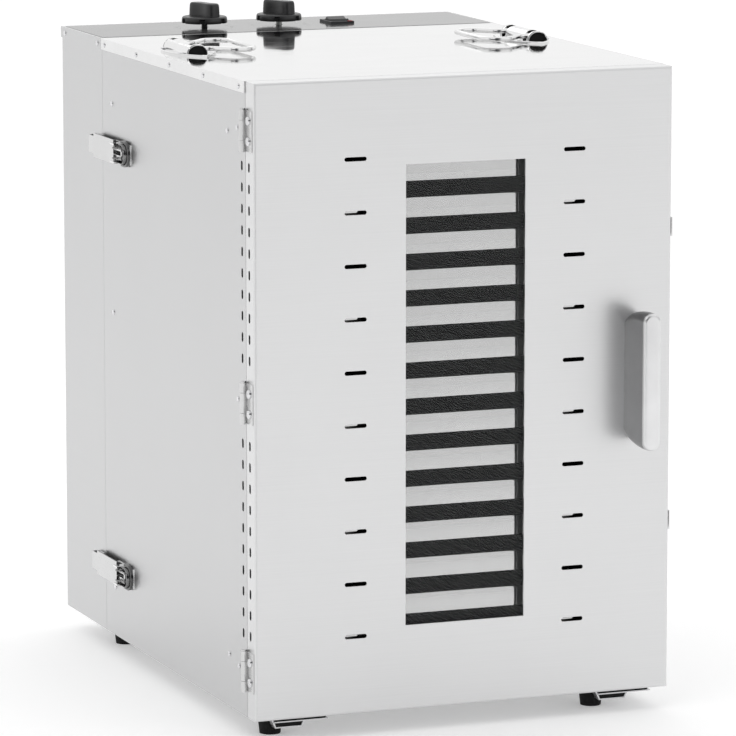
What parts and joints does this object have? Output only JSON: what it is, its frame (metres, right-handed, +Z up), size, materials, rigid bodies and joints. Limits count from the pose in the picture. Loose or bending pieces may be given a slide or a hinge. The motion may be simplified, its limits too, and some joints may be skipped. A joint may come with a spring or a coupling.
{
  "type": "food_dehydrator",
  "caption": "Stainless cabinet food dehydrator with hinged windowed door, sliding trays, clip-off fan and heater module, timer and thermostat knobs and two carry handles",
  "frame": {"origin": "on the floor under the middle of the whole machine", "axes": "+X to the right of someone facing the door, +Y from the door to the rear wall, +Z up"},
  "size_m": [0.443, 0.618, 0.645],
  "materials": {
    "steel_satin": "satin",
    "steel_polished": "polished",
    "rubber_black": "matt",
    "glass_clear": "clear",
    "plastic_black": "satin",
    "plastic_gloss_black": "gloss",
    "panel_grey": "gloss",
    "aluminium": "satin"
  },
  "bodies": {
    "cabinet": {"left_side_panel": "steel_satin", "right_side_panel": "steel_satin", "top_panel": "steel_polished", "bottom_panel": "steel_satin", "tray_guides": "steel_satin", "tray_01": "steel_polished", "tray_02": "steel_polished", "tray_03": "steel_polished", "tray_04": "steel_polished", "tray_05": "steel_polished", "tray_06": "steel_polished", "tray_07": "steel_polished", "tray_08": "steel_polished", "tray_09": "steel_polished", "tray_10": "steel_polished", "tray_11": "steel_polished", "tray_12": "steel_polished", "tray_13": "steel_polished", "tray_14": "steel_polished", "tray_15": "steel_polished", "tray_16": "steel_polished", "cabinet_rivets": "steel_satin", "foot_brackets": "steel_satin", "front_feet": "rubber_black", "hinge_cabinet_leaves": "steel_satin", "door_spring_catches": "steel_satin", "carry_handle_plates": "steel_polished", "latch_bases": "steel_satin"},
    "door": {"door_skin": "steel_satin", "window_pane": "glass_clear", "window_retainer": "steel_satin", "door_handle": "steel_satin", "hinge_door_leaves": "steel_satin", "door_fasteners": "steel_satin"},
    "rear_module": {"rear_housing": "steel_satin", "rear_back_wall": "steel_satin", "rear_top_cap": "panel_grey", "air_baffle": "steel_satin", "fan_motor": "panel_grey", "heater_element": "steel_satin", "timer_body": "plastic_black", "thermostat_body": "steel_satin", "switch_body": "plastic_gloss_black", "power_inlet": "plastic_black", "rear_feet": "rubber_black", "rear_fasteners": "steel_satin"},
    "fan": {"fan_blade": "aluminium"},
    "timer_dial": {"timer_knob": "plastic_black"},
    "thermostat_dial": {"thermostat_knob": "plastic_black"},
    "rocker": {"switch_rocker": "plastic_gloss_black"},
    "left_carry_handle": {"left_bail": "steel_polished"},
    "right_carry_handle": {"right_bail": "steel_polished"},
    "left_lower_lever": {"latch_lever_left_lower": "steel_satin"},
    "left_lower_hasp": {"latch_hasp_left_lower": "steel_satin"},
    "left_upper_lever": {"latch_lever_left_upper": "steel_satin"},
    "left_upper_hasp": {"latch_hasp_left_upper": "steel_satin"},
    "right_lower_lever": {"latch_lever_right_lower": "steel_satin"},
    "right_lower_hasp": {"latch_hasp_right_lower": "steel_satin"},
    "right_upper_lever": {"latch_lever_right_upper": "steel_satin"},
    "right_upper_hasp": {"latch_hasp_right_upper": "steel_satin"}
  },
  "joints": [
    {"name": "door_hinge", "type": "hinge", "parent": "cabinet", "child": "door", "pos_m": [-0.2134, -0.2405, 0.321], "axis": [0, 0, -1], "range_deg": [0, 175]},
    {"name": "rear_module_slide", "type": "slide", "parent": "cabinet", "child": "rear_module", "axis": [0, 1, 0], "range_m": [0, 0.15]},
    {"name": "fan_spin", "type": "hinge", "parent": "rear_module", "child": "fan", "pos_m": [0, 0.2195, 0.321], "axis": [0, 1, 0], "continuous": true},
    {"name": "timer_turn", "type": "hinge", "parent": "rear_module", "child": "timer_dial", "pos_m": [-0.08, 0.2415, 0.635], "axis": [0, 0, 1], "range_deg": [0, 300]},
    {"name": "thermostat_turn", "type": "hinge", "parent": "rear_module", "child": "thermostat_dial", "pos_m": [0, 0.2415, 0.635], "axis": [0, 0, 1], "range_deg": [0, 270]},
    {"name": "switch_rock", "type": "hinge", "parent": "rear_module", "child": "rocker", "pos_m": [0.063, 0.2415, 0.6145], "axis": [-1, 0, 0], "range_deg": [0, 14]},
    {"name": "left_bail_swing", "type": "hinge", "parent": "cabinet", "child": "left_carry_handle", "pos_m": [-0.177, 0.0215, 0.6255], "axis": [0, -1, 0], "range_deg": [0, 90]},
    {"name": "left_lower_lever_pivot", "type": "hinge", "parent": "cabinet", "child": "left_lower_lever", "pos_m": [-0.218, 0.1165, 0.09], "axis": [0, 0, -1], "range_deg": [0, 100]},
    {"name": "left_lower_hasp_pivot", "type": "hinge", "parent": "left_lower_lever", "child": "left_lower_hasp", "pos_m": [-0.214, 0.1065, 0.09], "axis": [0, 0, -1], "range_deg": [-100, 0]},
    {"name": "left_upper_lever_pivot", "type": "hinge", "parent": "cabinet", "child": "left_upper_lever", "pos_m": [-0.218, 0.1165, 0.513], "axis": [0, 0, -1], "range_deg": [0, 100]},
    {"name": "left_upper_hasp_pivot", "type": "hinge", "parent": "left_upper_lever", "child": "left_upper_hasp", "pos_m": [-0.214, 0.1065, 0.513], "axis": [0, 0, -1], "range_deg": [-100, 0]},
    {"name": "right_bail_swing", "type": "hinge", "parent": "cabinet", "child": "right_carry_handle", "pos_m": [0.177, 0.0215, 0.6255], "axis": [0, 1, 0], "range_deg": [0, 90]},
    {"name": "right_lower_lever_pivot", "type": "hinge", "parent": "cabinet", "child": "right_lower_lever", "pos_m": [0.218, 0.1165, 0.09], "axis": [0, 0, 1], "range_deg": [0, 100]},
    {"name": "right_lower_hasp_pivot", "type": "hinge", "parent": "right_lower_lever", "child": "right_lower_hasp", "pos_m": [0.214, 0.1065, 0.09], "axis": [0, 0, 1], "range_deg": [-100, 0]},
    {"name": "right_upper_lever_pivot", "type": "hinge", "parent": "cabinet", "child": "right_upper_lever", "pos_m": [0.218, 0.1165, 0.513], "axis": [0, 0, 1], "range_deg": [0, 100]},
    {"name": "right_upper_hasp_pivot", "type": "hinge", "parent": "right_upper_lever", "child": "right_upper_hasp", "pos_m": [0.214, 0.1065, 0.513], "axis": [0, 0, 1], "range_deg": [-100, 0]}
  ],
  "couplings": [
    {"joint": "left_lower_hasp_pivot", "follows": "left_lower_lever_pivot", "ratio": -1},
    {"joint": "left_upper_hasp_pivot", "follows": "left_upper_lever_pivot", "ratio": -1},
    {"joint": "right_lower_hasp_pivot", "follows": "right_lower_lever_pivot", "ratio": -1},
    {"joint": "right_upper_hasp_pivot", "follows": "right_upper_lever_pivot", "ratio": -1}
  ]
}
